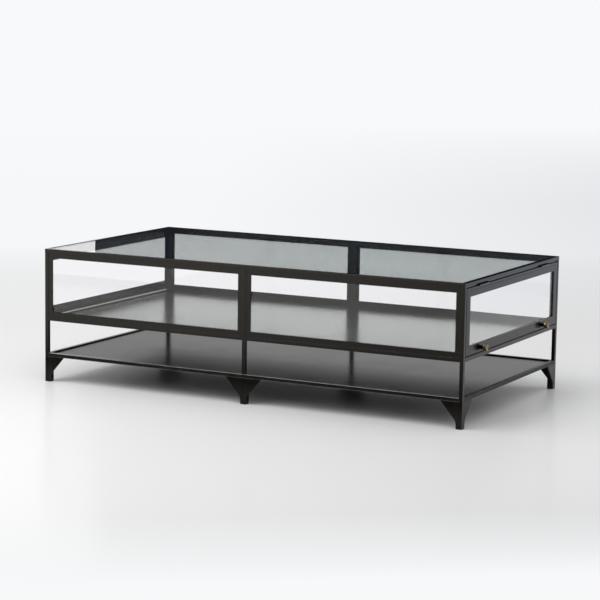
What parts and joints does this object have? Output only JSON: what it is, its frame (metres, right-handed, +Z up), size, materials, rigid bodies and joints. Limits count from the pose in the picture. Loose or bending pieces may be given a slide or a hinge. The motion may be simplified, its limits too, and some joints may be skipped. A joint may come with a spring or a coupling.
{
  "type": "collectors display table",
  "caption": "Low glass display case in a square steel bar frame, with a lift-up glass end door, two round knobs and an open lower shelf.",
  "frame": {"origin": "on the floor, under the middle of the table's overall box, knobs included", "axes": "+X along the length towards the door end, +Y from the front to the back, +Z up"},
  "size_m": [1.5444, 0.8, 0.45],
  "materials": {
    "blackened_steel": "waxed, low sheen",
    "sheet_steel": "satin",
    "clear_glass": "polished",
    "tinted_glass": "polished",
    "brass": "aged, turned",
    "zinc_plated_steel": "zinc plated",
    "nylon": "matte",
    "foam_tape": "matte",
    "catch_plastic": "moulded"
  },
  "bodies": {
    "table": {"case_floor": "sheet_steel", "case_floor_supports": "blackened_steel", "case_rail_back": "blackened_steel", "case_rail_front": "blackened_steel", "case_rail_left": "blackened_steel", "case_rail_right": "blackened_steel", "foot_back_left": "blackened_steel", "foot_back_middle": "blackened_steel", "foot_back_right": "blackened_steel", "foot_front_left": "blackened_steel", "foot_front_middle": "blackened_steel", "foot_front_right": "blackened_steel", "foot_glides": "nylon", "glazing_beads": "blackened_steel", "glazing_frame_back_left": "blackened_steel", "glazing_frame_back_right": "blackened_steel", "glazing_frame_front_left": "blackened_steel", "glazing_frame_front_right": "blackened_steel", "glazing_frame_left_end": "blackened_steel", "hinge_frame_leaves": "blackened_steel", "hinge_pins": "zinc_plated_steel", "hinge_screws_frame": "zinc_plated_steel", "leg_back_left": "blackened_steel", "leg_back_middle": "blackened_steel", "leg_back_right": "blackened_steel", "leg_front_left": "blackened_steel", "leg_front_middle": "blackened_steel", "leg_front_right": "blackened_steel", "lower_shelf": "sheet_steel", "lower_shelf_supports": "blackened_steel", "magnetic_catches": "catch_plastic", "shelf_rail_back": "blackened_steel", "shelf_rail_front": "blackened_steel", "shelf_rail_left": "blackened_steel", "shelf_rail_right": "blackened_steel", "side_glass_back_left": "clear_glass", "side_glass_back_right": "clear_glass", "side_glass_front_left": "clear_glass", "side_glass_front_right": "clear_glass", "side_glass_left_end": "clear_glass", "top_glass": "tinted_glass", "top_glass_ledge": "blackened_steel", "top_glass_tape": "foam_tape", "top_rail_back": "blackened_steel", "top_rail_front": "blackened_steel", "top_rail_left": "blackened_steel", "top_rail_right": "blackened_steel"},
    "door": {"door_stile_front": "blackened_steel", "door_stile_back": "blackened_steel", "door_rail_top": "blackened_steel", "door_rail_bottom": "blackened_steel", "door_glass": "clear_glass", "door_beads": "blackened_steel", "hinge_door_leaves": "blackened_steel", "hinge_screws_door": "zinc_plated_steel", "knob_front": "brass", "knob_back": "brass", "knob_screws": "zinc_plated_steel", "strike_plates": "zinc_plated_steel"}
  },
  "joints": [
    {"name": "door_hinge", "type": "hinge", "parent": "table", "child": "door", "pos_m": [0.75525, 0, 0.43515], "axis": [0, -1, 0], "range_deg": [0, 180]}
  ]
}
